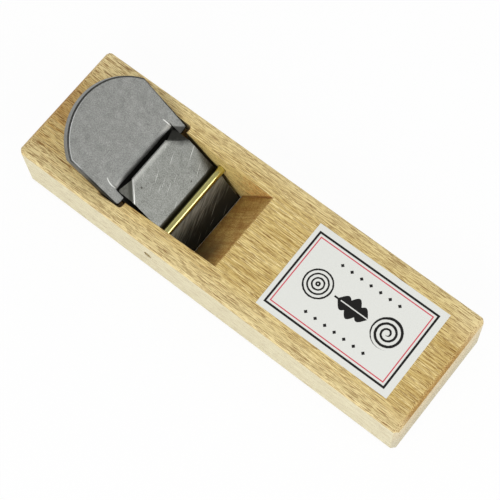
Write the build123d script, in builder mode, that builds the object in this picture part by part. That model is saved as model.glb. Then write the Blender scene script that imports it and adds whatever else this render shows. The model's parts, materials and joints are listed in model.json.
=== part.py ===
"""Wooden pull plane with a replaceable blade, as seven separate pieces.

Frame: X runs along the block with the head of the iron towards -X, Y runs across, Z points up and
the sole lies on Z = 0. The origin is the middle of the sole. Millimetres and degrees.

The iron lies on a sloping bed, so its pieces are drawn in a slope frame: u runs down the bed towards
the cutting edge, n stands up from it, and u = n = 0 is the line where the upper face of the holder's
head passes through the top of the block.
"""
import math
import os

from build123d import *

os.makedirs("parts", exist_ok=True)

# Block
block_length = 250.0
block_width = 75.0
block_height = 35.0
head_corner_chamfer = 3.0
toe_corner_chamfer = 2.0
top_edge_round = 2.0
end_edge_round = 3.0
sole_edge_chamfer = 0.8
throat_edge_ease = 0.4

# Bed, throat and mouth
bed_angle = 39.0
iron_line_from_head_end = 60.0
throat_width_back = 50.6
throat_width_front = 47.8
throat_front_run = 22.4
mouth_wall_height = 4.0
mouth_gap = 1.4
notch_gap = 2.3
notch_corner_radius = 2.0

# Blade holder
holder_thickness = 6.0
shoulder_width = 59.4
ear_width = 57.8
shoulder_to_iron_line = 32.0
head_end_radius = 33.8
head_edge_chamfer = 0.8
ear_tip_from_iron_line = 3.5
ear_length = 5.9
ear_corner_radius = 2.0
holder_under_ease = 0.4
lip_run = 6.2
lip_drop = 1.4
tongue_recess = 2.4
tongue_end_height = 1.2

# Cutting blade and its pins
blade_length = 18.0
blade_thickness = 1.0
blade_bevel_angle = 30.0
edge_rest_height = 0.25
pin_diameter = 3.0
pin_spacing = 30.0
pin_from_blade_top = 4.0
pin_depth = 2.2
pin_proud = 0.5

# Chip breaker
chip_thickness = 2.5
chip_top_above_head = 5.1
chip_top_from_iron_line = 1.95
chip_top_edge_width = 27.7
chip_leg_run = 20.3
chip_set_back = 0.7
chip_bend_radius = 1.6
chip_fold_angle = 45.0
chip_fold_radius = 0.8
chip_foot_width = 1.0

# Pressure rod
rod_diameter = 4.6
rod_before_bend = 1.7
rod_blind_depth = 9.0
rod_end_recess = 1.0
rod_end_chamfer = 0.4

# Label
label_length = 82.0
label_width = 54.4
label_thickness = 0.12
label_from_toe = 56.1
label_side_shift = 0.8
label_turn = 0.3

# Clearances
bed_clearance = 0.1
recess_clearance = 0.35
tongue_clearance = 0.45
chip_inset = 1.2
chip_contact_clearance = 0.08
foot_side_clearance = 0.5
rod_contact_clearance = 0.1
rod_hole_clearance = 0.05
rod_end_clearance = 0.3
pin_hole_clearance = 0.05
cut_margin = 5.0

# Slope frame
slope_cos = math.cos(math.radians(bed_angle))
slope_sin = math.sin(math.radians(bed_angle))
iron_line_x = iron_line_from_head_end - block_length / 2
slope_origin = (iron_line_x, 0, block_height)
down_slope = (slope_cos, 0, -slope_sin)
off_slope = (slope_sin, 0, slope_cos)
slope_face = Plane(origin=slope_origin, x_dir=down_slope, z_dir=off_slope)
slope_side = Plane(origin=slope_origin, x_dir=down_slope, z_dir=(0, -1, 0))


def slope_x(u, n):
    """X of a point of the slope frame."""
    return iron_line_x + slope_cos * u + slope_sin * n


def slope_z(u, n):
    """Z of a point of the slope frame."""
    return block_height - slope_sin * u + slope_cos * n


def u_at_height(z, n):
    """Distance down the slope at which the level n reaches the height z."""
    return (block_height + slope_cos * n - z) / slope_sin


# Levels above the bed and places down the slope
bed_n = -holder_thickness - bed_clearance
tongue_n = -tongue_recess
blade_n = tongue_n + blade_thickness
step_u = ear_tip_from_iron_line - ear_length
cutting_edge_u = u_at_height(edge_rest_height, blade_n)
blade_top_u = cutting_edge_u - blade_length
pin_u = blade_top_u + pin_from_blade_top
chip_tip_u = cutting_edge_u - chip_set_back
chip_tip_n = blade_n + chip_contact_clearance
chip_bend_u = chip_tip_u - chip_leg_run
rod_u = chip_bend_u - rod_before_bend
rod_n = chip_top_above_head + rod_contact_clearance + rod_diameter / 2

# Throat, from the cutting edge forwards and from the ears backwards
mouth_front_x = slope_x(cutting_edge_u, blade_n) + mouth_gap
throat_front_x = mouth_front_x + throat_front_run
notch_x = slope_x(ear_tip_from_iron_line, 0) + notch_gap
over_z = block_height + cut_margin
under_z = -cut_margin
bed_over_x = slope_x(u_at_height(over_z, bed_n), bed_n)
bed_under_x = slope_x(u_at_height(under_z, bed_n), bed_n)


def throat_half_at(x):
    """Half width of the tapering throat at a place along the block."""
    along = (x - notch_x) / (throat_front_x - notch_x)
    return (throat_width_back + (throat_width_front - throat_width_back) * along) / 2


def holder_half_at(u):
    """Half width of the tapering holder at a place down the slope."""
    along = (u + shoulder_to_iron_line) / (ear_tip_from_iron_line + shoulder_to_iron_line)
    return (shoulder_width + (ear_width - shoulder_width) * along) / 2


# Widths that follow from the throat
tongue_half = throat_half_at(mouth_front_x) - tongue_clearance
chip_half = tongue_half - chip_inset
recess_half = holder_half_at(u_at_height(block_height, bed_n)) + recess_clearance

# Folded corners of the chip breaker: a fold line at 45 degrees to the plate's edges
fold_leg = chip_half - chip_top_edge_width / 2
fold_length = fold_leg * math.sqrt(2)
fold_cos = math.cos(math.radians(chip_fold_angle))
fold_sin = math.sin(math.radians(chip_fold_angle))
foot_drop = chip_top_above_head - tongue_n - chip_contact_clearance - chip_thickness * fold_cos
foot_reach = foot_drop / fold_sin
foot_out = (fold_length / 2 + foot_reach * fold_cos + chip_foot_width / 2) / math.sqrt(2)
ear_inner_half = chip_top_edge_width / 2 + foot_out + foot_side_clearance

# Pressure rod hole
rod_x = slope_x(rod_u, rod_n)
rod_z = slope_z(rod_u, rod_n)
rod_hole_end_y = throat_half_at(rod_x) + rod_blind_depth
rod_near_y = -block_width / 2 + rod_end_recess
rod_far_y = rod_hole_end_y - rod_end_clearance
rod_side = Plane(origin=(rod_x, 0, rod_z), x_dir=(1, 0, 0), z_dir=(0, 1, 0))

# Space cut for the throat: bed, front wall and mouth in side view, recess and cheeks in plan
with BuildPart() as throat:
    with BuildSketch(Plane.XZ):
        with BuildLine():
            Polyline(
                (bed_over_x, over_z),
                (bed_under_x, under_z),
                (mouth_front_x, under_z),
                (mouth_front_x, mouth_wall_height),
                (throat_front_x, block_height),
                (throat_front_x, over_z),
                close=True,
            )
        make_face()
    extrude(amount=block_width, both=True)
    with BuildSketch(Plane.XY.offset(under_z)) as throat_plan:
        front_x = throat_front_x + cut_margin
        with BuildLine():
            Polyline(
                (notch_x - cut_margin, throat_half_at(notch_x)),
                (notch_x, throat_half_at(notch_x)),
                (front_x, throat_half_at(front_x)),
                (front_x, -throat_half_at(front_x)),
                (notch_x, -throat_half_at(notch_x)),
                (notch_x - cut_margin, -throat_half_at(notch_x)),
                close=True,
            )
        make_face()
        recess_length = notch_x - bed_over_x + cut_margin
        with Locations((notch_x - recess_length / 2, 0)):
            Rectangle(recess_length, 2 * recess_half)
        outer_corners = throat_plan.vertices().filter_by(
            lambda v: abs(v.X - notch_x) < notch_corner_radius and abs(v.Y) > recess_half - recess_clearance
        )
        fillet(outer_corners, radius=notch_corner_radius)
    extrude(amount=over_z - under_z, mode=Mode.INTERSECT)

# Oak block
with BuildPart() as plane_body:
    with BuildSketch() as block_plan:
        Rectangle(block_length, block_width)
        corners = block_plan.vertices().group_by(Axis.X)
        chamfer(corners[0], length=head_corner_chamfer)
        chamfer(corners[-1], length=toe_corner_chamfer)
    extrude(amount=block_height)
    end_edges = plane_body.faces().sort_by(Axis.Z)[-1].edges().filter_by(Axis.Y)
    fillet(end_edges, radius=end_edge_round)
    long_edges = plane_body.faces().sort_by(Axis.Z)[-1].edges().filter_by(Axis.Y, reverse=True)
    fillet(long_edges, radius=top_edge_round)
    chamfer(plane_body.faces().sort_by(Axis.Z)[0].edges(), length=sole_edge_chamfer)
    add(throat.part, mode=Mode.SUBTRACT)
    throat_rim = plane_body.faces().sort_by(Axis.Z)[-1].inner_wires()[0]
    chamfer(throat_rim.edges(), length=throat_edge_ease)
    with BuildSketch(rod_side.offset(rod_hole_end_y)):
        Circle(rod_diameter / 2 + rod_hole_clearance)
    extrude(amount=-(rod_hole_end_y + block_width / 2), mode=Mode.SUBTRACT)
plane_body.part.label = "plane_body"

# Brass rod, pushed in from the near side and stopped by its blind hole
with BuildPart() as pressure_rod:
    with BuildSketch(rod_side.offset(rod_near_y)):
        Circle(rod_diameter / 2)
    extrude(amount=rod_far_y - rod_near_y)
    chamfer(pressure_rod.edges().filter_by(GeomType.CIRCLE), length=rod_end_chamfer)
pressure_rod.part.label = "pressure_rod"

# Paper label, stuck on the top face in front of the throat
with BuildPart() as label:
    with BuildSketch(Plane.XY.offset(block_height)):
        with Locations(Location((block_length / 2 - label_from_toe, label_side_shift, 0), label_turn)):
            Rectangle(label_length, label_width)
    extrude(amount=label_thickness)
label.part.label = "label"

# Blade holder: rounded head with two ears, and a recessed tongue that carries the blade
with BuildPart() as blade_holder:
    head_centre_run = math.sqrt(max(head_end_radius**2 - (shoulder_width / 2) ** 2, 0))
    with BuildSketch(slope_face) as head_plan:
        with Locations((head_centre_run - shoulder_to_iron_line, 0)):
            Circle(head_end_radius)
        with Locations((-shoulder_to_iron_line - head_end_radius, 0)):
            Rectangle(2 * head_end_radius, shoulder_width, mode=Mode.INTERSECT)
        with BuildLine():
            Polyline(
                (-shoulder_to_iron_line, shoulder_width / 2),
                (ear_tip_from_iron_line, ear_width / 2),
                (ear_tip_from_iron_line, -ear_width / 2),
                (-shoulder_to_iron_line, -shoulder_width / 2),
                close=True,
            )
        make_face()
        fillet(head_plan.vertices().group_by(Axis.X)[-1], radius=ear_corner_radius)
    extrude(amount=-holder_thickness)
    upper_edges = blade_holder.faces().sort_by(Axis(slope_origin, off_slope))[-1].edges()
    chamfer(upper_edges, length=head_edge_chamfer)
    lower_edges = blade_holder.faces().sort_by(Axis(slope_origin, off_slope))[0].edges()
    chamfer(lower_edges, length=holder_under_ease)
    with BuildSketch(slope_side):
        with BuildLine():
            Polyline(
                (step_u, -holder_thickness),
                (u_at_height(tongue_end_height, -holder_thickness), -holder_thickness),
                (u_at_height(tongue_end_height, tongue_n), tongue_n),
                (step_u, tongue_n),
                close=True,
            )
        make_face()
    extrude(amount=tongue_half, both=True)
    with BuildSketch(slope_side):
        with BuildLine():
            lip_arc = TangentArc((step_u - lip_run, 0), (step_u, -lip_drop), tangent=(1, 0))
            Polyline(
                lip_arc @ 1,
                (step_u, tongue_n),
                (ear_tip_from_iron_line + cut_margin, tongue_n),
                (ear_tip_from_iron_line + cut_margin, cut_margin),
                (step_u - lip_run, cut_margin),
                lip_arc @ 0,
            )
        make_face()
    extrude(amount=ear_inner_half, both=True, mode=Mode.SUBTRACT)
    with BuildSketch(slope_face.offset(tongue_n)):
        with Locations((pin_u, -pin_spacing / 2), (pin_u, pin_spacing / 2)):
            Circle(pin_diameter / 2 + pin_hole_clearance)
    extrude(amount=-pin_depth, mode=Mode.SUBTRACT)
blade_holder.part.label = "blade_holder"

# Replaceable blade, bevelled on its underside and pierced for the two pins
with BuildPart() as cutting_blade:
    bevel_run = blade_thickness / math.tan(math.radians(blade_bevel_angle))
    with BuildSketch(slope_side):
        with BuildLine():
            Polyline(
                (blade_top_u, tongue_n),
                (cutting_edge_u - bevel_run, tongue_n),
                (cutting_edge_u, blade_n),
                (blade_top_u, blade_n),
                close=True,
            )
        make_face()
    extrude(amount=tongue_half, both=True)
    with BuildSketch(slope_face.offset(blade_n)):
        with Locations((pin_u, -pin_spacing / 2), (pin_u, pin_spacing / 2)):
            Circle(pin_diameter / 2 + pin_hole_clearance)
    extrude(amount=-blade_thickness, mode=Mode.SUBTRACT)
cutting_blade.part.label = "cutting_blade"

# Two pins pressed into the tongue, standing a little proud of the blade
with BuildPart() as blade_locating_pins:
    with BuildSketch(slope_face.offset(tongue_n - pin_depth)):
        with Locations((pin_u, -pin_spacing / 2), (pin_u, pin_spacing / 2)):
            Circle(pin_diameter / 2)
    extrude(amount=pin_depth + blade_thickness + pin_proud)
blade_locating_pins.part.label = "blade_locating_pins"

# Chip breaker: one half with its folded corner, then mirrored
leg_angle = math.atan2(chip_top_above_head - chip_tip_n, chip_leg_run)
under_bend_u = chip_bend_u - chip_thickness * math.tan(leg_angle / 2)
under_n = chip_top_above_head - chip_thickness
leg_under_drop = chip_top_above_head - chip_thickness / math.cos(leg_angle) - chip_tip_n
ground_u = chip_bend_u + leg_under_drop / math.tan(leg_angle)
chip_top_u = -chip_top_from_iron_line
fold_start = (chip_top_u + fold_leg, -chip_half)
fold_across = (slope_face.x_dir - slope_face.y_dir) * -math.sqrt(0.5)
fold_outward = (slope_face.x_dir + slope_face.y_dir) * -math.sqrt(0.5)
fold_face = Plane(
    origin=slope_face.from_local_coords((*fold_start, chip_top_above_head)),
    x_dir=fold_across,
    z_dir=slope_face.z_dir * fold_cos + fold_outward * fold_sin,
)
with BuildPart() as chip_breaker:
    with BuildSketch(slope_side):
        with BuildLine():
            Polyline(
                (chip_top_u, chip_top_above_head),
                (chip_bend_u, chip_top_above_head),
                (chip_tip_u, chip_tip_n),
                (ground_u, chip_tip_n),
                (under_bend_u, under_n),
                (chip_top_u, under_n),
                close=True,
            )
        make_face()
    extrude(amount=chip_half)
    bend_edges = chip_breaker.edges().filter_by(Axis.Y)
    bend_middle = slope_face.from_local_coords((chip_bend_u, -chip_half / 2, chip_top_above_head))
    fillet(bend_edges.sort_by_distance(bend_middle)[0], radius=chip_bend_radius)
    with BuildSketch(slope_face.offset(under_n)):
        with BuildLine():
            Polyline(
                fold_start,
                (chip_top_u, -chip_top_edge_width / 2),
                (chip_top_u - cut_margin, -chip_top_edge_width / 2),
                (chip_top_u - cut_margin, -chip_half - cut_margin),
                (chip_top_u + fold_leg, -chip_half - cut_margin),
                close=True,
            )
        make_face()
    extrude(amount=chip_thickness, mode=Mode.SUBTRACT)
    with BuildSketch(fold_face):
        with BuildLine():
            Polyline(
                (0, 0),
                (fold_length, 0),
                ((fold_length + chip_foot_width) / 2, foot_reach),
                ((fold_length - chip_foot_width) / 2, foot_reach),
                close=True,
            )
        make_face()
    extrude(amount=-chip_thickness)
    fold_middle = fold_face.from_local_coords((fold_length / 2, 0, 0))
    fillet(chip_breaker.edges().sort_by_distance(fold_middle)[0], radius=chip_fold_radius)
    mirror(about=Plane.XZ)
chip_breaker.part.label = "chip_breaker"

for piece in (plane_body, pressure_rod, label, blade_holder, cutting_blade, blade_locating_pins, chip_breaker):
    export_step(piece.part, f"parts/{piece.part.label}.step")
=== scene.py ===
# %% [markdown]
# # A wooden pull plane
#
# The object is a low oak block with a sloping throat. A steel holder with a round head lies on the slope,
# a folded chip breaker lies on the holder, a brass rod presses on both, and a paper label is stuck on top.
# The shapes come from the packed CAD model. This script gives each piece its finish, sets the camera where
# the photograph was taken, and lights the table.
#
# The frame is loaded first. Every node sits at the origin with its place in its mesh, so Object coordinates
# are the same metres that the CAD uses, and a pattern can be placed by the drawing's own numbers.

# %% Load the frame
import json
import math

import bpy
import numpy as np
from mathutils import Matrix, Vector


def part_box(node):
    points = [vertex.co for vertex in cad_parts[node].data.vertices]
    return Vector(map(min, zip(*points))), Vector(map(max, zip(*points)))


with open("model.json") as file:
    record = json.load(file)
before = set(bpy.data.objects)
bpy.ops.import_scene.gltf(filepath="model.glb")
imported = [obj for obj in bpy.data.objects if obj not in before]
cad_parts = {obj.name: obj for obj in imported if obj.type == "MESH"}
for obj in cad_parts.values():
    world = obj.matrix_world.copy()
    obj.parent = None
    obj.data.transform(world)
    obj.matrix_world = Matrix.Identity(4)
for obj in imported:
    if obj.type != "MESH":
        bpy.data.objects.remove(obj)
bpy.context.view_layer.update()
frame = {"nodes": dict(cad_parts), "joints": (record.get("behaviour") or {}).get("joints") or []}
nodes = frame["nodes"]
print("nodes:", sorted(nodes))

# %% [markdown]
# ## The camera
#
# A photograph of a box fixes its own camera: the edges of the block run to vanishing points, and their
# lengths in the picture give the distance. The numbers below were fitted to the block's edges. The lens is
# long, so the block looks almost like a drawing, and the camera looks steeply down on it with a slight
# roll.

# %% Place the camera
view_turn = math.radians(44.75)
view_height = math.radians(69.51)
view_roll = math.radians(-6.59)
view_distance = 0.792
aim_point = np.array((0.0, 0.0, 0.015))
aim_offset = (-0.0017, 0.0022)
picture_pixels = 500
focal_pixels = 1500

backward = np.array((
    math.sin(view_turn) * math.cos(view_height),
    -math.cos(view_turn) * math.cos(view_height),
    math.sin(view_height),
))
level_right = np.array((math.cos(view_turn), math.sin(view_turn), 0.0))
level_up = np.cross(backward, level_right)
rightward = math.cos(view_roll) * level_right + math.sin(view_roll) * level_up
upward = math.cos(view_roll) * level_up - math.sin(view_roll) * level_right
eye = aim_point + view_distance * backward - aim_offset[0] * rightward - aim_offset[1] * upward

camera_data = bpy.data.cameras.new("photo_camera")
camera_data.sensor_width = 36.0
camera_data.lens = camera_data.sensor_width * focal_pixels / picture_pixels
camera = bpy.data.objects.new("photo_camera", camera_data)
placing = np.eye(4)
placing[:3, :4] = np.column_stack((rightward, upward, backward, eye))
camera.matrix_world = Matrix(placing.tolist())
bpy.context.scene.collection.objects.link(camera)
bpy.context.scene.camera = camera
print("camera at", eye.round(4), "lens", camera_data.lens, "mm")

# %% [markdown]
# ## Colours as they look
#
# A colour that is read off a screen is written from 0 to 255. A shader works with linear light, where the
# dark half of that range takes up far less room. The linear numbers could be written down, but nobody can
# picture a colour from them, so this file keeps screen colours and converts each where it is used.

# %% Screen colours
def srgb(red, green, blue):
    """A colour read off a screen, from 0 to 255, as the linear numbers that a shader wants."""
    level = np.array((red, green, blue)) / 255.0
    linear = np.where(level <= 0.04045, level / 12.92, ((level + 0.055) / 1.055) ** 2.4)
    return tuple(float(v) for v in linear)


print("straw on the screen is", [round(v, 3) for v in srgb(214, 188, 128)], "in the shader")

# %% [markdown]
# ## Writing shaders as sums
#
# A procedural finish is mostly arithmetic on positions. Adding each Math node by hand hides that, so one
# small class wraps an output socket: `a + b`, `1 - a` and `a * b` each add the Math node they stand for,
# `a | b` is the larger of two masks, and `node` adds any other kind of node. Colours and vectors have
# methods of their own, because a Math node turns a colour grey.

# %% A socket that takes part in expressions
class Wire:
    """An output socket. Each operator adds one Math node and gives its result as a new wire."""

    def __init__(self, socket):
        self.socket = socket

    def node(self, kind, settings=None, inputs=None, out=0):
        """Adds a node of a kind: its settings are set first, then each input gets a value or a link."""
        tree = self.socket.id_data
        made = tree.nodes.new(kind)
        for name, value in (settings or {}).items():
            if name == "stops":
                while len(made.color_ramp.elements) < len(value):
                    made.color_ramp.elements.new(1.0)
                for element, (place, colour) in zip(made.color_ramp.elements, value):
                    element.position = place
                    element.color = (*colour, 1.0)
            else:
                setattr(made, name, value)
        for name, value in (inputs or {}).items():
            if isinstance(value, Wire):
                tree.links.new(value.socket, made.inputs[name])
            else:
                made.inputs[name].default_value = value
        return Wire(made.outputs[out])

    def maths(self, operation, *rest):
        """A Math node with this wire first."""
        return self.node("ShaderNodeMath", {"operation": operation}, dict(enumerate((self, *rest))))

    def __add__(self, other):
        return self.maths("ADD", other)

    def __sub__(self, other):
        return self.maths("SUBTRACT", other)

    def __rsub__(self, other):
        return self.node("ShaderNodeMath", {"operation": "SUBTRACT"}, {0: other, 1: self})

    def __mul__(self, other):
        return self.maths("MULTIPLY", other)

    def __truediv__(self, other):
        return self.maths("DIVIDE", other)

    def __or__(self, other):
        return self.maths("MAXIMUM", other)

    def __abs__(self):
        return self.maths("ABSOLUTE")

    __radd__ = __add__
    __rmul__ = __mul__

    def step(self, low, high):
        """Rises smoothly from 0 at low to 1 at high, or falls where low is above high."""
        if low > high:
            return 1 - self.step(high, low)
        return self.node("ShaderNodeMapRange", {"interpolation_type": "SMOOTHSTEP"},
                         {"Value": self, "From Min": low, "From Max": high})

    def axes(self):
        """The x, y and z of a vector."""
        split = self.node("ShaderNodeSeparateXYZ", None, {0: self})
        return [Wire(output) for output in split.socket.node.outputs]

    def dot(self, direction):
        """The dot product of a vector with a direction."""
        return self.node("ShaderNodeVectorMath", {"operation": "DOT_PRODUCT"},
                         {0: self, 1: direction}, "Value")

    def stretched(self, factors):
        """A vector with each axis multiplied by its own factor."""
        return self.node("ShaderNodeVectorMath", {"operation": "MULTIPLY"}, {0: self, 1: factors})

    def noise(self, factors, detail=2.0, roughness=0.5):
        """Noise from 0 to 1 in cells of 1 / factor along each axis."""
        return self.node("ShaderNodeTexNoise", {"normalize": True}, {
            "Vector": self.stretched(factors), "Scale": 1.0, "Detail": detail, "Roughness": roughness})

    def ramp(self, *stops):
        """A colour read off a ramp: each stop is a place from 0 to 1 and a screen colour."""
        linear = [(place, srgb(*screen)) for place, screen in stops]
        return self.node("ShaderNodeValToRGB", {"stops": linear}, {0: self})

    def toward(self, share, screen):
        """This colour, mixed towards a screen colour by a share from 0 to 1."""
        return self.node("ShaderNodeMix", {"data_type": "RGBA"},
                         {0: share, 6: self, 7: (*srgb(*screen), 1.0)}, 2)

    def tinted(self, share, factors):
        """This colour, with its red, green and blue multiplied by factors, by a share from 0 to 1."""
        return self.node("ShaderNodeMix", {"data_type": "RGBA", "blend_type": "MULTIPLY"},
                         {0: share, 6: self, 7: (*factors, 1.0)}, 2)

    def bump(self, strength, depth):
        """A surface normal that leans as if this wire were a height, with its depth in metres."""
        return self.node("ShaderNodeBump", None,
                         {"Height": self, "Strength": strength, "Distance": depth}, "Normal")


print("a wire can do:", sorted(name for name in vars(Wire) if not name.startswith("_")))

# %% [markdown]
# ## A material to start from
#
# Every finish begins in the same way: a Principled shader, and the position in millimetres, because the
# drawing's sizes are in millimetres. At the end, wires are linked to the shader's inputs. Three more
# helpers measure: the way a surface looks, a distance from a point and the box of a node. A size that the
# box gives is read from it and not typed again.

# %% Start and end of a finish
def start_finish(name, metallic, roughness):
    """A new material. Gives the material, its shader and its position in millimetres."""
    material = bpy.data.materials.new(name)
    material.use_nodes = True
    tree = material.node_tree
    shader = tree.nodes["Principled BSDF"]
    shader.inputs["Metallic"].default_value = metallic
    shader.inputs["Roughness"].default_value = roughness
    place = Wire(tree.nodes.new("ShaderNodeTexCoord").outputs["Object"])
    millimetres = place.node("ShaderNodeVectorMath", {"operation": "SCALE"}, {0: place, "Scale": 1000.0})
    return material, shader, millimetres


def feed(shader, **wires):
    """Links wires to a shader's inputs: an underscore in a name stands for a space."""
    for name, wire in wires.items():
        shader.id_data.links.new(wire.socket, shader.inputs[name.replace("_", " ")])


def facing(material):
    """The direction that a surface looks in."""
    return Wire(material.node_tree.nodes["Texture Coordinate"].outputs["Normal"])


def distance(first, second):
    """The length of two steps at a right angle: the root of the sum of their squares."""
    return (first * first + second * second).maths("SQRT")


def box_mm(node):
    """The lowest and highest corners of a node, in millimetres."""
    return [np.array(corner) * 1000.0 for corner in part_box(node)]


print("block from", *(corner.round(2) for corner in box_mm("plane_body")), "mm")

# %% [markdown]
# ## Places on the slope
#
# The iron lies on a bed that slopes, and slides along it. Scratches, worn edges and stains follow that
# slope and not the table, so they are placed by three distances from the line where the iron's upper face
# meets the top of the block: u down the slope, y across it and n up from it. An empty that is turned to
# the slope could give them as its own coordinates, but a material that names another object doesn't survive
# an export. A dot product of the position with a direction needs no such helper, and the direction is that
# of the iron's own joint.

# %% Distances in the slope frame
iron_line_from_head_end = 60.0
half_length, half_width, block_top = box_mm("plane_body")[1].tolist()
iron_line = (iron_line_from_head_end - half_length, 0.0, block_top)
up_the_bed = next(joint["axis"] for joint in frame["joints"] if joint["name"] == "iron_slide")
down_slope = tuple(-part for part in up_the_bed)
off_slope = (-down_slope[2], 0.0, down_slope[0])


def along(mm, direction):
    """Millimetres from the iron line along a direction: the dot product of the two."""
    offset = mm.node("ShaderNodeVectorMath", {"operation": "SUBTRACT"}, {0: mm, 1: iron_line})
    return offset.dot(direction)


def slope_place(mm):
    """Position in the slope frame: u down the bed, y across, n up from it, all from the iron line."""
    return along(mm, down_slope), mm.axes()[1], along(mm, off_slope)


print("down the slope:", np.round(down_slope, 3), "off the slope:", np.round(off_slope, 3))

# %% [markdown]
# ## Oak: the grain
#
# Oak grows in rings round the pith, with its cells running along the trunk. A picture of boards could be
# wrapped round the block, but then the grain wouldn't meet at the edges. Here the whole solid has a
# pattern: noise that is long along X and fine across it is a streak on the top and the sides and a dot on
# the ends, as in real timber. The lines wander a little, because no tree is straight.

# %% Streaks and growth rings
ring_pitch = 1.5
ring_offset = 111.0

oak, oak_shader, oak_mm = start_finish("oak", 0.0, 0.55)
x, y, z = oak_mm.axes()
wander = (oak_mm.noise((0.006, 0.02, 0.02), 1.0) - 0.5) * 2.5
flow = oak_mm.node("ShaderNodeCombineXYZ", None, {0: x, 1: y + wander, 2: z + wander * 0.6})


def grain(lengthwise, crosswise, detail=2.0, roughness=0.5):
    """Noise that follows the grain: its cells are 1 / lengthwise long and 1 / crosswise across."""
    return flow.noise((lengthwise, crosswise, crosswise), detail, roughness)


across_rings = (y + wander) * 0.5 + z * 0.9 + ring_offset
ring_wave = across_rings * (2 * math.pi / ring_pitch) + grain(0.01, 0.12) * 6
ring = ring_wave.maths("SINE") * 0.5 + 0.5
broad = grain(0.012, 0.16)
streak = grain(0.045, 2.7, 3.0, 0.6)
hair = grain(0.1, 4.6, 2.0, 0.6)
tone = (streak - 0.5) * 2.0 + (hair - 0.5) * 1.1 + (broad - 0.5) * 0.38 + (ring - 0.5) * 0.12 + 0.48
wood = tone.ramp(
    (0.1, (172, 137, 64)), (0.4, (208, 180, 108)), (0.6, (225, 200, 131)), (0.9, (248, 228, 168)))
print("grain:", len(oak.node_tree.nodes), "nodes")

# %% [markdown]
# ## Oak: vessels
#
# The large vessels of oak are cut open by the plane that flattens it, and show as short dark dashes along
# the grain. Drawing each dash isn't needed: a Voronoi texture scatters points, and what lies near a point
# is a small ball. Drawn out along X, the ball is a vessel. Their colour comes last, over all other tones.

# %% Vessels
def vessels(lengthwise, crosswise, radius, soft):
    """Voronoi cells within a radius of their centres: long along the grain, hair-thin across it."""
    cell = flow.node("ShaderNodeTexVoronoi", {"feature": "F1"}, {
        "Vector": flow.stretched((lengthwise, crosswise, crosswise)), "Scale": 1.0, "Randomness": 1.0})
    return (cell + (0.5 - ring) * 0.08 + (broad - 0.5) * 0.08).step(radius + soft, radius - soft)


long_vessels = vessels(0.1, 2.5, 0.35, 0.07)
short_vessels = vessels(0.22, 3.1, 0.34, 0.08)
depth = grain(0.1, 1.3, 1.0).step(0.3, 0.7)
pores = (long_vessels | short_vessels * 0.85) * (0.55 + depth * 0.45)
print("vessels:", len(oak.node_tree.nodes), "nodes")

# %% [markdown]
# ## Oak: which face is which
#
# The block is one solid, but its faces differ: the throat is brown with painted shade in it, the top is
# planed and the outer sides are painted pale as painted light. Each kind of face could have a material of
# its own, but then the grain would be made several times over and would break at the edges. Instead, one
# material has a mask for each kind, which comes from the direction that a face looks in and from where it
# lies.

# %% Masks for the faces
look_x, look_y, look_z = facing(oak).axes()
steep = abs(look_z).step(0.35, 0.05)
by_end = abs(x).step(half_length - 4.0, half_length - 3.0)
by_side = abs(y).step(half_width - 4.5, half_width - 2.5)
outside = by_end | by_side
outer_side = steep * outside * abs(look_y).step(0.3, 0.8)
outer_end = steep * outside * abs(look_x).step(0.3, 0.8)
across_grain = abs(look_x).step(0.15, 0.7) * (1 - steep)
front_wall = across_grain * (1 - outside)
inner_cheek = abs(look_y).step(0.8, 0.95) * (1 - outside)
print("masks:", len(oak.node_tree.nodes), "nodes")

# %% [markdown]
# ## Oak: the throat
#
# The front wall of the throat is a slanted cut through the grain. It is browner than the top and crossed by
# rays that run down it. Its lower near corner gets a painted shadow of the near cheek, and its edges beside
# the cheeks get painted shade. The cheeks run along the grain. They are painted golden and paler, most of
# all deep down, as painted light. Towards the front wall they get painted shade and red flecks, and a
# painted
# shade line where they meet it. Such tones could be painted on by hand. A mask and a tint do it by measure:
# `tinted` multiplies the colour that is there, so the grain stays visible under the brown.

# %% Front wall and cheeks
figure_pitch = 9.0
wall_top_x = -0.5
wall_run = 22.4
mouth_wall_height = 4.0
wall_angle = math.atan2(wall_run, block_top - mouth_wall_height)

figure_wave = across_rings * (2 * math.pi / figure_pitch) + grain(0.05, 0.09, 3.0, 0.6) * 14
figure = figure_wave.maths("SINE").step(0.4, 0.95)
rays = oak_mm.noise((0.03, 0.8, 0.05), 3.0, 0.65).step(0.42, 0.58)
near_cheek_shadow = y.step(0.0, -16.0) * z.step(34.0, 18.0)
wood = wood.tinted(across_grain * figure * 0.55, (0.74, 0.6, 0.48))
wood = wood.tinted(front_wall * rays * 0.8, (0.74, 0.58, 0.46))
wood = wood.tinted(front_wall, (0.79, 0.7, 0.54))
# Painted shadow of the near cheek, darkest in the lower near corner of the front wall.
wood = wood.tinted(front_wall * near_cheek_shadow * 0.95, (0.25, 0.3, 0.36))
# Painted shade along the front wall's edges beside the cheeks.
wood = wood.tinted(front_wall * abs(y).step(22.6, 23.8) * 0.7, (0.66, 0.5, 0.38))

red_fleck = grain(0.5, 1.2).step(0.47, 0.58) * x.step(-32.0, -14.0)
from_wall = (x - wall_top_x) * math.cos(wall_angle) - (z - block_top) * math.sin(wall_angle)
corner_shade_line = from_wall.step(-1.3, -0.3) * z.step(6.0, 22.0)
# Painted light: the cheeks are made paler and more golden, most of all deep in the throat.
wood = wood.toward(inner_cheek * (0.5 + z.step(33.0, 15.0) * 0.4), (255, 230, 146))
# Painted shade on the cheeks towards the front wall.
wood = wood.tinted(inner_cheek * x.step(-24.0, -4.0) * 0.5, (0.86, 0.64, 0.46))
wood = wood.tinted(inner_cheek * red_fleck * 0.85, (0.84, 0.54, 0.32))
# Painted shade line where the cheeks meet the front wall.
wood = wood.tinted(inner_cheek * corner_shade_line * 0.85, (0.5, 0.3, 0.18))
print("front wall leans", round(math.degrees(wall_angle), 1), "degrees")
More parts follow.
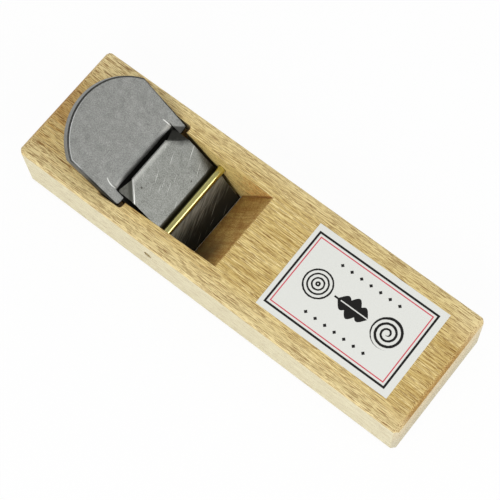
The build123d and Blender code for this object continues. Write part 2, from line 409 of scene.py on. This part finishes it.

# %% [markdown]
# ## Oak: painted shade in the gaps
#
# The cheeks are painted black as shade in the narrow gaps along the holder and in the recess of its
# head. The edge of that painted shade is ragged along the grain. A noise of its own could make it ragged,
# but the streaks that are there already make it follow the wood. The rod's hole is painted dark inside
# as shade.

# %% Painted shade by the iron and in the rod's hole
rod_x, _, rod_z = (sum(box_mm("pressure_rod")) / 2).tolist()
u, _, n = slope_place(oak_mm)

ragged = n + (streak - 0.5) * 2.2
iron_gap_shade = ragged.step(3.7, 2.1) * u.step(-3.0, 0.0) * u.step(44.0, 34.0)
recess_gap_shade = abs(y).step(26.6, 27.6)
hole_shade = distance(x - rod_x, z - rod_z).step(2.8, 2.5)
# Painted shade inside the rod's hole.
wood = wood.toward(hole_shade * 0.85, (74, 46, 22))
# Painted shade in the narrow gaps beside the holder and in the recess of its head.
wood = wood.tinted(inner_cheek * (iron_gap_shade | recess_gap_shade) * 0.95, (0.055, 0.05, 0.06))
print("rod hole at x", round(rod_x, 2), "z", round(rod_z, 2), "mm")

# %% [markdown]
# ## Oak: tones of the top
#
# A board is never one tone. Towards both ends the top changes tone, and the rounded end edges are brown
# where they cut the grain. The head end is painted lighter as painted light, and has warm patches, a
# painted shade in its middle under the overhang of the holder's head, and long brown lines, which also run
# along the near edge. Both long edges are painted paler than what lies between them, as painted light. More
# noise would vary the tone too, but anywhere. These tones belong to places, so each is a soft step in x or
# y.

# %% Ends and edges of the top
near_line_inset = 3.0

lined = x.step(-84.0, -102.0) | y.step(-22.0, -30.0) * 0.9
long_lines = grain(0.05, 1.5, 2.0, 0.6).step(0.52, 0.66) * lined
end_edge = abs(x).step(half_length - 1.7, half_length - 0.7) * (1 - outer_end)
wood = wood.tinted(across_grain * outside, (0.78, 0.68, 0.5))
wood = wood.tinted(abs(x).step(106.0, 122.0) * 0.45, (0.86, 0.8, 0.74))
# Painted light: the head end of the top is lightened.
wood = wood.toward(x.step(-88.0, -108.0) * 0.35, (242, 221, 160))
wood = wood.tinted(broad.step(0.48, 0.66) * x.step(-90.0, -106.0) * 0.6, (0.95, 0.8, 0.56))
wood = wood.tinted(long_lines * 0.75, (0.84, 0.66, 0.36))
wood = wood.tinted(end_edge * 0.7, (0.74, 0.63, 0.42))

head_overhang_shade = x.step(-104.0, -116.0) * abs(y).step(18.0, 3.0)
far_toe = y.step(26.0, 34.0) * x.step(20.0, 95.0)
far_corner = y.step(13.0, 28.0) * abs(x).step(105.0, 117.0)
long_edge_light = abs(y).step(22.0, 36.0) * (0.5 + y.step(1.0, -1.0) * 0.14)
near_line = abs(y + half_width - near_line_inset).step(0.9, 0.2) * look_z.step(0.5, 0.8)
# Painted shade under the overhang of the holder's head.
wood = wood.tinted(head_overhang_shade * 0.9, (0.76, 0.64, 0.5))
wood = wood.tinted(far_toe * 0.7, (0.86, 0.84, 0.7))
wood = wood.toward(far_corner * 0.35, (255, 236, 182))
# Painted light: both long edges of the top are made paler.
wood = wood.toward(long_edge_light, (239, 222, 169))
wood = wood.tinted(near_line * 0.7, (0.86, 0.84, 0.78))
print("tones:", len(oak.node_tree.nodes), "nodes")

# %% [markdown]
# ## Oak: outer sides and end grain
#
# The outer sides and ends are painted paler than the top, as painted light. On the ends the growth rings
# show as arcs round a pith that lies well below the block, and rays spread from the pith as fine pale
# lines.
# Blender's Wave texture makes rings too, but no rays. Here an arc is a distance from the pith and a ray is
# an angle round it, so both have the same centre.

# %% Outer faces
pith_y = 16.0
pith_z = -62.0
ring_width = 2.7
rays_per_radian = 130

aside = y - pith_y
up = z - pith_z
from_pith = distance(up, aside) + (broad - 0.5) * 2.5
early_wood = (from_pith / ring_width).maths("FRACT").step(0.45, 0.95)
fan = oak_mm.node("ShaderNodeCombineXYZ", None, {
    0: aside.maths("ARCTAN2", up) * rays_per_radian, 1: from_pith})
end_ray = fan.noise((1.0, 0.05, 1.0)).step(0.56, 0.7)
# Painted light: the outer sides and ends are made pale.
wood = wood.toward(outer_side * 0.78, (219, 214, 186))
wood = wood.toward(outer_end * 0.82, (215, 203, 171))
wood = wood.tinted(outer_end * z.step(30.0, 6.0), (0.84, 0.9, 0.98))
wood = wood.tinted(outer_end * early_wood * 0.6, (0.84, 0.74, 0.58))
wood = wood.toward(outer_end * end_ray * 0.4, (238, 228, 200))
print("rings across an end:", round(block_top / ring_width))

# %% [markdown]
# ## Oak: the finished surface
#
# The vessels go on last: faint on the pale outer faces, and deepest at the head end. They are small
# grooves, so the same pattern is also a height, and a vessel is rougher than the planed wood beside it.

# %% Vessels over all, and the surface
pale_face = outer_side | outer_end
dark = pores * (1 - pale_face * 0.5)
head_end = x.step(-84.0, -100.0) * (1 - pale_face)
wood = wood.toward(dark * 0.9, (122, 78, 10))
wood = wood.tinted(dark * head_end * 0.7, (0.8, 0.64, 0.42))

height = streak * 0.25 + hair * 0.2 - pores
feed(oak_shader, Base_Color=wood, Roughness=0.5 + pores * 0.3 + hair * 0.1,
     Normal=height.bump(0.25, 0.00025))
nodes["plane_body"].data.materials[0] = oak
print("oak:", len(oak.node_tree.nodes), "nodes")

# %% [markdown]
# ## Lines on steel
#
# A scratch is a thin line at some angle. Each could be drawn as a distance from a line, but steel has
# hundreds. Noise that is far longer one way than the other gives many such lines at once, and keeping only
# its highest parts leaves a few bright ones. Both are placed on the slope, so an angle is measured from the
# way down the bed.

# %% Scratches
scratch_level = 0.78
scratch_soft = 0.06


def drawn_noise(u, y, degrees, length_factor, thinness):
    """Noise in lines at an angle to the slope: far longer along the line than across it."""
    turn = math.radians(degrees)
    length = u * math.cos(turn) + y * math.sin(turn)
    width = y * math.cos(turn) - u * math.sin(turn)
    field = u.node("ShaderNodeCombineXYZ", None, {0: length, 1: width})
    return field.noise((length_factor, thinness, 1.0), 1.0)


def scratches(u, y, degrees, length_factor, thinness, amount):
    """Fine bright lines: the highest parts of drawn-out noise, more of them for a larger amount."""
    level = scratch_level - amount
    return drawn_noise(u, y, degrees, length_factor, thinness).step(level, level + scratch_soft)


print("a scratch starts where the noise passes", scratch_level)

# %% [markdown]
# ## The outline of the head
#
# Wear and black scale follow the rim of the holder's head. The Geometry node's Pointiness finds sharp
# edges, but it depends on how finely a mesh is cut. A distance from the drawn outline doesn't. That
# outline is a round end and two straight sides that taper towards the ears, so the distance is the larger
# of two: past the circle, and past the sides.

# %% Distance from the rim
shoulder_u = -32.0
_, shoulder_half, _ = box_mm("blade_holder")[1].tolist()
ear_half = 57.8 / 2
shoulder_to_ear = 35.5
side_taper = (ear_half - shoulder_half) / shoulder_to_ear
head_radius = 33.8
head_centre_u = shoulder_u + math.sqrt(head_radius**2 - shoulder_half**2)


def head_outline(u, y):
    """Distance outside the head, negative inside it."""
    past_circle = distance(u - head_centre_u, y) - head_radius
    past_side = abs(y) - ((u - shoulder_u) * side_taper + shoulder_half)
    return past_circle | past_side


print("centre of the round end:", round(head_centre_u, 2), "mm down the slope")

# %% [markdown]
# ## Satin steel of the holder
#
# The holder is a thick steel plate whose faces were blasted or tumbled to an even grey. Such a surface has
# no direction: it scatters the light in a wide lobe and shows only a fine mottle, so a rough metal with a
# fine bump is enough. The plate rolls down between the ears. A painted highlight runs along the crease
# beside each ear and a painted sheen lies on the roll. The slot below the roll, the low tongue, the rim and
# a patch of the far ear under the chip breaker's fold are painted dark as shade.

# %% Holder steel finish
def scratches_and_crease_glints(u, y, n):
    """A few scratches across the head, and a painted highlight along the crease beside each ear: one bowed,
    one straight.
    """
    near_bow = y + 23.2 - (u + 7) * (u + 7) * 0.06
    near_crease_glint = abs(near_bow).step(0.36, 0.14) * u.step(-11.8, -10.6)
    far_slant = y - 22.2 - (u + 6) * 0.14
    far_crease_glint = abs(far_slant).step(0.36, 0.14) * u.step(-10.0, -9.0)
    # The creases are painted highlights.
    crease_glint = (near_crease_glint | far_crease_glint) * u.step(-3.4, -4.0) * n.step(-1.1, -0.8)
    return scratches(u, y, 83, 0.09, 2.4, 0.0) * 0.35 | crease_glint * 0.8


def painted_holder_shade(material, u, y, outline):
    """Painted shade below the roll, on the tongue and along the rim (its chamfer, and its sides near the
    ears), and a painted shadow of the chip breaker's far fold on the far ear.
    """
    look_up = facing(material).dot(off_slope)
    # Painted shade along the rim: its chamfer, and its sides near the ears.
    by_rim = outline.step(-2.0, -1.2)
    chamfer = look_up.step(0.95, 0.85) * look_up.step(0.4, 0.6) * by_rim
    side = look_up.step(0.35, 0.2) * by_rim
    straight = u.step(shoulder_u, shoulder_u + 3)
    by_ear = u.step(-24.0, -14.0)
    rim = chamfer * (0.8 - straight * 0.35 + by_ear * 0.5) | side * straight * (0.3 + by_ear * 0.65)
    # Painted shade in the slot below the roll, and on the low tongue below it.
    below_roll = u.step(-3.4, -2.6) * abs(y).step(23.5, 23.2)
    tongue = u.step(3.0, 4.0)
    # Painted shadow of the chip breaker's far fold on the far ear.
    far_fold_shadow = (y - u * 0.89 - 25.8).step(0.5, -0.5) * y.step(22.8, 23.2) * u.step(-4.0, -3.2)
    return below_roll | tongue | rim | far_fold_shadow * 0.85


def holder_finish():
    """Grey steel with a fine mottle, a painted sheen on the roll and a painted highlight on a stretch of
    the round rim.
    """
    material, shader, mm = start_finish("holder_steel", 1.0, 0.45)
    u, y, n = slope_place(mm)
    fine = mm.noise((1.7, 1.7, 1.7), 3.0, 0.75)
    patch = mm.noise((0.25, 0.25, 0.25), 2.0)
    tone = 0.5 + (fine - 0.5) * 1.8 + (patch - 0.5) * 0.5
    steel = tone.ramp((0.1, (101, 102, 99)), (0.5, (130, 131, 128)), (0.9, (156, 157, 153)))
    painted_roll_sheen = u.step(-6.8, -4.4) * u.step(-2.9, -3.4) * abs(y).step(22.4, 21.4)
    outline = head_outline(u, y)
    rim_line = outline.step(-1.35, -1.15) * outline.step(-0.75, -0.9)
    rim_highlight = rim_line * y.step(4.0, -16.0) * u.step(-23.0, -27.0)
    # Painted sheen on the roll.
    steel = steel.toward(painted_roll_sheen * 0.5, (206, 206, 202))
    steel = steel.toward(scratches_and_crease_glints(u, y, n), (222, 223, 219))
    # Painted highlight along a stretch of the round rim.
    steel = steel.toward(rim_highlight * 0.5, (206, 208, 208))
    # Painted shade in the slot, on the tongue, along the rim and on the far ear.
    steel = steel.toward(painted_holder_shade(material, u, y, outline) * 0.93, (36, 35, 32))
    feed(shader, Base_Color=steel, Roughness=0.42 + fine * 0.16, Normal=fine.bump(0.25, 0.0001))
    return material


holder_steel = holder_finish()
nodes["blade_holder"].data.materials[0] = holder_steel
print("holder steel:", len(holder_steel.node_tree.nodes), "nodes")

# %% [markdown]
# ## Ground steel
#
# The chip breaker and the blade are ground along the slope, so their lines run from the top edge to the
# tip. An anisotropic shader would stretch the reflections, but the lines themselves wouldn't show. Noise
# drawn out along the slope gives the lines, and a finer noise the grain of the metal.

# %% Grinding
def ground_steel(mm, light, across_lines):
    """Steel with lines long in u and fine in y. Gives its colour and its lines."""
    slope = mm.node("ShaderNodeCombineXYZ", None, dict(enumerate(slope_place(mm))))
    lines = slope.noise((0.06, across_lines, 0.5), 3.0, 0.6)
    fine = slope.noise((1.6, 1.6, 1.6), 3.0, 0.7)
    tone = 0.5 + (lines - 0.5) * 0.5 + (fine - 0.5) * 2.0
    darker = [level - 20 for level in light]
    lighter = [level + 18 for level in light]
    return tone.ramp((0.2, darker), (0.5, light), (0.85, lighter)), lines


def blade_finish():
    """Finely ground steel for the blade and its pins, painted dark as shade towards the cutting edge."""
    material, shader, mm = start_finish("blade_steel", 1.0, 0.3)
    steel, lines = ground_steel(mm, (126, 127, 126), 4.0)
    # Painted shade on the blade towards the cutting edge, down in the mouth.
    steel = steel.toward(along(mm, down_slope).step(49.0, 51.5) * 0.8, (44, 43, 38))
    feed(shader, Base_Color=steel, Roughness=0.2 + lines * 0.2, Normal=lines.bump(0.1, 0.00005))
    return material


blade_steel = blade_finish()
nodes["cutting_blade"].data.materials[0] = blade_steel
nodes["blade_locating_pins"].data.materials[0] = blade_steel
print("blade steel:", len(blade_steel.node_tree.nodes), "nodes")

# %% [markdown]
# ## Marks on the chip breaker
#
# The chip breaker is a bent plate, and each part of it has marks of its own. The flat face has clouds, fine
# scratches and painted shade towards the far side. The leg below the rod is painted bright at the bend and
# darkens in hazy lines towards the cutting edge, a painted reflection and painted shade, with a few real
# scratches. The folded corners are painted darker as shade and mottled, with painted shade beside the fold
# and a painted highlight along it. One long function could hold all of it. One for each part takes the
# colour so far and gives it back with that part's marks on it.

# %% Marks on face, leg and corners
chip_top_u = -1.95
chip_bend_u = 32.5
fold_y = 15.7
fold_slant = 0.93


def face_marks(steel, leg, cloud, u, y):
    """Clouds all over, and scratches and painted shade towards the far side on what isn't the leg."""
    scratch = scratches(u, y, -66, 0.05, 1.6, 0.1) | scratches(u, y, 24, 0.06, 2.2, 0.05)
    painted_shade = (y + u * 0.45 + (cloud - 0.5) * 5).step(27.0, 34.0)
    steel = steel.toward((cloud - 0.4) * 0.7, (140, 141, 138))
    steel = steel.toward(scratch * 0.4 * (1 - leg), (206, 207, 202))
    # Painted shade towards the far side of the face.
    return steel.toward(painted_shade * 0.85 * (1 - leg), (52, 51, 46))


def leg_marks(steel, leg, u, y):
    """A painted reflection from bright at the bend to painted shade at the tip, shifted by hazy lines, with
    a few clear scratches.
    """
    broad_haze = (drawn_noise(u, y, -68, 0.1, 0.9) - 0.5) * 16
    fine_haze = (drawn_noise(u, y, -64, 0.2, 2.6) - 0.5) * 8
    shade = (y * 0.05 + u + (broad_haze + fine_haze)).step(27.0, 46.5)
    scratch = scratches(u, y, -62, 0.04, 1.9, 0.13) | scratches(u, y, -74, 0.05, 1.7, 0.1)
    # Painted reflection and shade: the leg is bright at the bend and darkens towards the tip.
    steel = steel.toward(leg, (190, 194, 188))
    steel = steel.toward(leg * shade * 0.97, (38, 40, 37))
    return steel.toward(leg * scratch * abs(y - 2).step(15.0, 8.0) * 0.8, (196, 198, 194))


def corner_marks(steel, mm, folded, cloud, u, y):
    """Corners painted darker as shade and mottled, painted shade beside the fold, painted highlights along
    it and the top edge, and painted shade in the far corner.
    """
    from_fold = (y + fold_y + u * fold_slant) / math.hypot(1.0, fold_slant)
    fold_glint = abs(from_fold).step(0.55, 0.2) * u.step(9.0, 8.0)
    fold_shade = from_fold.step(-0.4, -0.9) * from_fold.step(-2.8, -1.6)
    mottle = mm.noise((0.8, 0.8, 0.8), 2.0).step(0.45, 0.65)
    top_glint = u.step(chip_top_u + 3.2, chip_top_u + 0.6) * (1 - folded)
    painted_shade = (y - u * 0.8 + (cloud - 0.5) * 8).step(12.0, 17.5) * u.step(12.0, 6.0)
    # Painted shade: the folded corners are made darker grey.
    steel = steel.toward(folded * 0.85, (98, 98, 92))
    # Painted shade beside the fold, with a real mottle.
    steel = steel.toward(folded * (fold_shade | mottle * 0.5) * 0.6, (52, 54, 47))
    # Painted highlights along the fold and along the top edge.
    steel = steel.toward(top_glint * 0.18 | fold_glint * 0.7, (204, 205, 200))
    # Painted shade in the far corner.
    return steel.toward(painted_shade * 0.9, (30, 30, 27))


print("the face is", chip_bend_u - chip_top_u, "mm long from its top edge to the bend")

# %% [markdown]
# ## The chip breaker
#
# The marks go on in layers: grinding, use, then the cut edges painted dark as shade and a painted highlight
# on the top edge, and at last two pits and a painted shadow and dark reflection of the rod on the face
# round it. A later layer covers what is below it, so their order matters. The leg and the top edge are less
# of a mirror than the face, so that they stay bright whatever they happen to reflect.

# %% Chip breaker finish
rod_u = float(np.dot(np.subtract((rod_x, 0.0, rod_z), iron_line), down_slope))
breaker_pits = ((4.7, -13.9, 0.5), (23.4, 8.1, 0.45))


def breaker_finish():
    """Ground steel with its marks, less of a mirror on the leg and the top edge."""
    material, shader, mm = start_finish("breaker_steel", 1.0, 0.35)
    steel, lines = ground_steel(mm, (96, 97, 93), 1.8)
    u, y, n = slope_place(mm)
    cloud = mm.noise((0.16, 0.16, 0.16), 3.0, 0.7)
    look_up = facing(material).dot(off_slope)
    leg = u.step(chip_bend_u - 0.6, chip_bend_u + 1.2)
    folded = look_up.step(0.8, 0.72) * u.step(9.0, 8.0)
    top_edge = facing(material).dot(down_slope).step(-0.5, -0.8) * n.step(2.8, 3.8)
    steel = face_marks(steel, leg, cloud, u, y)
    steel = leg_marks(steel, leg, u, y)
    steel = corner_marks(steel, mm, folded, cloud, u, y)
    # Painted shade on the cut edges.
    steel = steel.toward(look_up.step(0.5, 0.3) * 0.95, (36, 35, 31))
    # Painted highlight on the top edge.
    steel = steel.toward(top_edge * 0.9, (206, 207, 202))

    # Painted shadow and dark reflection of the rod on the face round it, and the two real pits.
    rod_shade_and_pits = u.step(rod_u - 4.9, rod_u - 3.9) * u.step(rod_u + 4.5, rod_u + 3.3)
    for pit_u, pit_y, radius in breaker_pits:
        pit = distance(u - pit_u, y - pit_y).step(radius + 0.25, radius - 0.15)
        rod_shade_and_pits = rod_shade_and_pits | pit * 0.8
    steel = steel.toward(rod_shade_and_pits * 0.92, (36, 33, 25))
    feed(shader, Base_Color=steel, Metallic=1 - leg * 0.6 - top_edge * 0.7,
         Roughness=0.26 + lines * 0.16 + leg * 0.12, Normal=lines.bump(0.12, 0.00008))
    return material


breaker_steel = breaker_finish()
nodes["chip_breaker"].data.materials[0] = breaker_steel
print("breaker steel:", len(breaker_steel.node_tree.nodes), "nodes, rod at", round(rod_u, 2), "mm")

# %% [markdown]
# ## Brass
#
# The rod is drawn brass, polished by handling: a round bar with one bright streak of the lamp along it. A
# smoother metal would sharpen that streak and lose the soft sheen beside it. A thin clear coat over a
# softer metal keeps both. The end that sits in the hole in the near side is painted brown as shade.

# %% Brass finish
shade_starts_y = -30.0
shade_full_y = -33.0


def brass_finish():
    """Drawn brass: fine lines along the bar, slow patches of tarnish and a near end painted brown as shade.
    """
    material, shader, mm = start_finish("brass", 1.0, 0.25)
    shader.inputs["Coat Weight"].default_value = 0.5
    shader.inputs["Coat Roughness"].default_value = 0.12
    drawn = mm.noise((2.5, 0.08, 2.5), 2.0)
    patch = mm.noise((0.3, 0.12, 0.3), 2.0)
    tone = 0.5 + (drawn - 0.5) * 0.5 + (patch - 0.5) * 0.6
    metal = tone.ramp((0.2, (200, 192, 118)), (0.6, (216, 209, 136)), (0.9, (226, 220, 150)))
    # Painted shade on the end of the rod in its hole.
    metal = metal.toward(mm.axes()[1].step(shade_starts_y, shade_full_y) * 0.9, (66, 44, 18))
    feed(shader, Base_Color=metal, Roughness=0.16 + patch * 0.1)
    return material


brass = brass_finish()
nodes["pressure_rod"].data.materials[0] = brass
print("brass:", len(brass.node_tree.nodes), "nodes")

# %% [markdown]
# ## Motifs for the label
#
# The label is printed with a few plain figures: the rings of a sawn log, an oak leaf, a curl of shaving and
# two rows of dots. They could be thin meshes on the paper, but ink has no height worth a mesh. Each is a
# function of the place on the paper that gives 1 where there is ink. Rings and curls are distances folded
# by Fraction, a curl being rings that grow with the angle. A small noise, the brush, makes every edge of
# the figures a little uneven, as if painted.

# %% Log, curl, leaf and dots
log_x = -22.0
log_radius = 8.9
log_ring_pitch = 2.3
curl_x = 21.5
curl_radius = 9.0
curl_pitch = 2.9
leaf_half = 9.5
leaf_width = 6.5
dot_pitch = 6.0
dot_row_y = 15.5


def log_end(x, y, brush):
    """Rings at an even pitch round a point."""
    radius = distance(x - log_x, y) + brush * 0.5
    off_line = abs((radius / log_ring_pitch + 0.1).maths("FRACT") - 0.5)
    return off_line.step(0.24, 0.18) * radius.step(log_radius, log_radius - 0.3)


def shaving_curl(x, y, brush):
    """A spiral: rings that grow by one pitch in each turn, and get thicker outwards."""
    radius = distance(x - curl_x, y) + brush * 0.5
    turn = y.maths("ARCTAN2", x - curl_x) / (2 * math.pi)
    off_line = abs((radius / curl_pitch - turn).maths("FRACT") - 0.5) - radius * 0.012
    return off_line.step(0.2, 0.14) * radius.step(curl_radius, curl_radius - 0.3) * radius.step(0.9, 1.2)


def oak_leaf(x, y, brush):
    """A half wave from stalk to tip, with three lobes and a pale midrib, and a short stalk."""
    share = (x + leaf_half) / (2 * leaf_half)
    lobes = 0.55 + abs((share * (3 * math.pi)).maths("SINE")) * 0.45
    width = (share * math.pi).maths("SINE").maths("POWER", 0.7) * lobes * leaf_width
    off_midrib = abs(y + brush * 0.3)
    blade = (abs(y) - width + brush * 0.3).step(0.06, -0.06) * off_midrib.step(0.2, 0.4)
    stalk = off_midrib.step(0.6, 0.45) * abs(x + leaf_half).step(2.1, 1.9)
    return blade * abs(x).step(leaf_half, leaf_half - 0.2) | stalk


def dot_rows(x, y, brush):
    """Small diamonds: the sum of the distances along a row and off it is small."""
    along_row = abs((x / dot_pitch + 0.5).maths("FRACT") - 0.5) * dot_pitch
    off_row = abs(abs(y) - dot_row_y)
    return (along_row + off_row + brush * 0.3).step(1.25, 1.05) * abs(x).step(21.5, 21.0)


print("the leaf is", 2 * leaf_half, "mm long")

# %% [markdown]
# ## Printed label
#
# The label is white paper with a black frame and a thin red frame inside it. A printed line is a distance:
# the distance from the edge of a rectangle is the larger of |x| - a and |y| - b, and ink lies where that
# distance is near zero. The frames sit a little off the middle of the sheet, and the whole print is turned
# slightly on it.

# %% Label finish
label_centre = sum(box_mm("label")) / 2
label_turn = math.radians(0.3)
print_shift_x = 0.7
print_shift_y = 0.1
black_frame = (37.3, 23.3, 1.2)
red_frame = (35.3, 21.25, 0.65)
ink_soft = 0.06


def frame_line(x, y, half_long, half_wide, width):
    """Ink along the edge of a rectangle, half a width to each side."""
    past_end = abs(x + print_shift_x) - half_long
    past_side = abs(y + print_shift_y) - half_wide
    return abs(past_end | past_side).step(width / 2 + ink_soft, width / 2 - ink_soft)


def label_finish():
    """Paper with fine fibres, printed in red and black."""
    material, shader, mm = start_finish("paper", 0.0, 0.6)
    shader.inputs["Specular IOR Level"].default_value = 0.2
    centred = mm.node("ShaderNodeMapping", {"vector_type": "TEXTURE"}, {
        "Vector": mm, "Location": tuple(label_centre), "Rotation": (0.0, 0.0, label_turn)})
    x, y, _ = centred.axes()
    fibre = mm.noise((1.4, 2.6, 1.0), 3.0, 0.7)
    brush = (mm.noise((0.7, 0.7, 1.0), 3.0, 0.65) - 0.5) * 1.1
    black = frame_line(x, y, *black_frame)
    for motif in (log_end, shaving_curl, oak_leaf, dot_rows):
        black = black | motif(x, y, brush)
    sheet = fibre.ramp((0.2, (224, 225, 219)), (0.8, (232, 233, 228)))
    sheet = sheet.toward(frame_line(x, y, *red_frame), (210, 84, 98))
    sheet = sheet.toward(black, (24, 23, 22))
    feed(shader, Base_Color=sheet, Normal=fibre.bump(0.1, 0.00004))
    return material


nodes["label"].data.materials[0] = label_finish()
print("label centre", label_centre.round(2), "mm")

# %% [markdown]
# ## The table
#
# The plane lies on a white sheet. A white floor that is lit to full white would also throw too much light
# on the object, so the floor is a plain matt white for the light, and a camera or a mirror-like ray sees
# most of it as even white. The rest of what it sees is the lit floor, with the object's soft shadow. Right
# under the block nothing is evened out, so no light seems to come up through the mouth.

# %% Floor
floor_half = 2.0
floor_z = -0.0003
even_share = 0.94
under_length = (110.0, 126.0)
under_width = (30.0, 39.0)

floor_side = np.linspace(-floor_half, floor_half, 2)
floor_x, floor_y = np.meshgrid(floor_side, floor_side)
floor_points = np.stack((floor_x, floor_y, np.full_like(floor_x, floor_z)), axis=-1).reshape(-1, 3)
floor_mesh = bpy.data.meshes.new("floor")
floor_mesh.from_pydata(floor_points.tolist(), [], [(0, 1, 3, 2)])
floor = bpy.data.objects.new("floor", floor_mesh)
bpy.context.scene.collection.objects.link(floor)


def floor_finish():
    """Matt white, seen as mostly even white by camera, glossy and transmission rays."""
    material, shader, mm = start_finish("white_sheet", 0.0, 0.9)
    shader.inputs["Base Color"].default_value = (0.9, 0.9, 0.9, 1.0)
    tree = material.node_tree
    path = tree.nodes.new("ShaderNodeLightPath")
    seen = Wire(path.outputs["Is Camera Ray"])
    for kind in ("Is Glossy Ray", "Is Transmission Ray"):
        seen = seen | Wire(path.outputs[kind])
    even = seen.node("ShaderNodeEmission", None, {"Color": (1.0, 1.0, 1.0, 1.0), "Strength": 1.0})
    x, y, _ = mm.axes()
    open_floor = abs(x).step(*under_length) | abs(y).step(*under_width)
    mixed = seen.node("ShaderNodeMixShader", None, {
        0: seen * open_floor * even_share, 1: Wire(shader.outputs[0]), 2: even})
    tree.links.new(mixed.socket, tree.nodes["Material Output"].inputs["Surface"])
    return material


floor_mesh.materials.append(floor_finish())
print("floor", 2 * floor_half, "m across")

# %% [markdown]
# ## Lamps and sky
#
# One soft lamp stands beyond the toe, so its light glances down the block and brings out the rod and the
# rims. A second, broader one in front fills the near side. A picture of a studio could be the sky, but two
# tones are enough here: white, brighter near the horizon than overhead, so that the steel, which mirrors
# what is above it, stays grey.

# %% Lamps and world
ceiling = 0.48
sweep = 0.62


def soft_box(name, place, aim, size, watts):
    """A square area lamp at a place, turned to look at a point."""
    data = bpy.data.lights.new(name, "AREA")
    data.size = size
    data.energy = watts
    lamp = bpy.data.objects.new(name, data)
    lamp.location = place
    lamp.rotation_euler = (Vector(aim) - Vector(place)).to_track_quat("-Z", "Y").to_euler()
    bpy.context.scene.collection.objects.link(lamp)


soft_box("window_lamp", (0.95, 0.2, 0.5), (0.0, 0.0, 0.02), 0.4, 2.1)
soft_box("front_lamp", (0.15, -0.8, 0.7), (0.0, 0.0, 0.02), 0.6, 3.4)

world = bpy.data.worlds.new("studio")
bpy.context.scene.world = world
world.use_nodes = True
background = world.node_tree.nodes["Background"]
ray_height = Wire(world.node_tree.nodes.new("ShaderNodeTexCoord").outputs["Generated"]).axes()[2]
sky = ray_height.step(0.85, 0.4) * sweep + ceiling
world.node_tree.links.new(sky.socket, background.inputs["Strength"])
background.inputs["Color"].default_value = (1.0, 1.0, 1.0, 1.0)
bpy.context.scene.view_settings.view_transform = "Standard"
